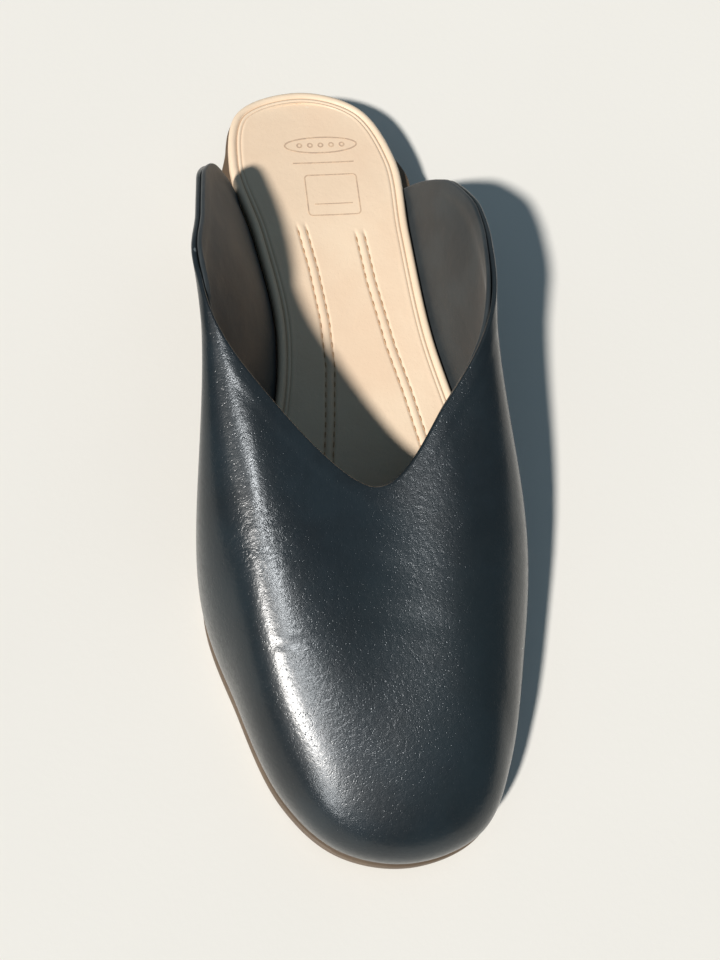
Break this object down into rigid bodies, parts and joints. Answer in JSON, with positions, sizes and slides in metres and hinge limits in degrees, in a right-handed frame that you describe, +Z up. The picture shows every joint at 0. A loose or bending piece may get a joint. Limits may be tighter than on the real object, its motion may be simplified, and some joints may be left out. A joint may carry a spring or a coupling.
{
  "type": "mule shoe",
  "caption": "Flat slip-on mule with a V-cut leather upper, open back, padded footbed and low block heel, standing empty on its sole",
  "frame": {"origin": "middle of the shoe's plan box, on the floor it stands on", "axes": "+Z up, -Y towards the toe, +Y towards the heel, -X the inner (medial) side and +X the outer (lateral) side of a left foot"},
  "size_m": [0.0946, 0.2452, 0.067],
  "materials": {
    "upper_leather": "smooth semi-gloss black leather with a slight navy cast",
    "lining": "matte charcoal lining leather",
    "footbed": "matte cream leather, stitched",
    "outsole": "satin taupe sole sheet",
    "heel": "dark stained stacked heel",
    "heel_tip": "matte black rubber",
    "thread": "matte waxed thread"
  },
  "bodies": {
    "root": {"outsole": "outsole", "heel": "heel", "heel_tip": "heel_tip", "insole": "footbed", "upper": "upper_leather"}
  },
  "joints": []
}
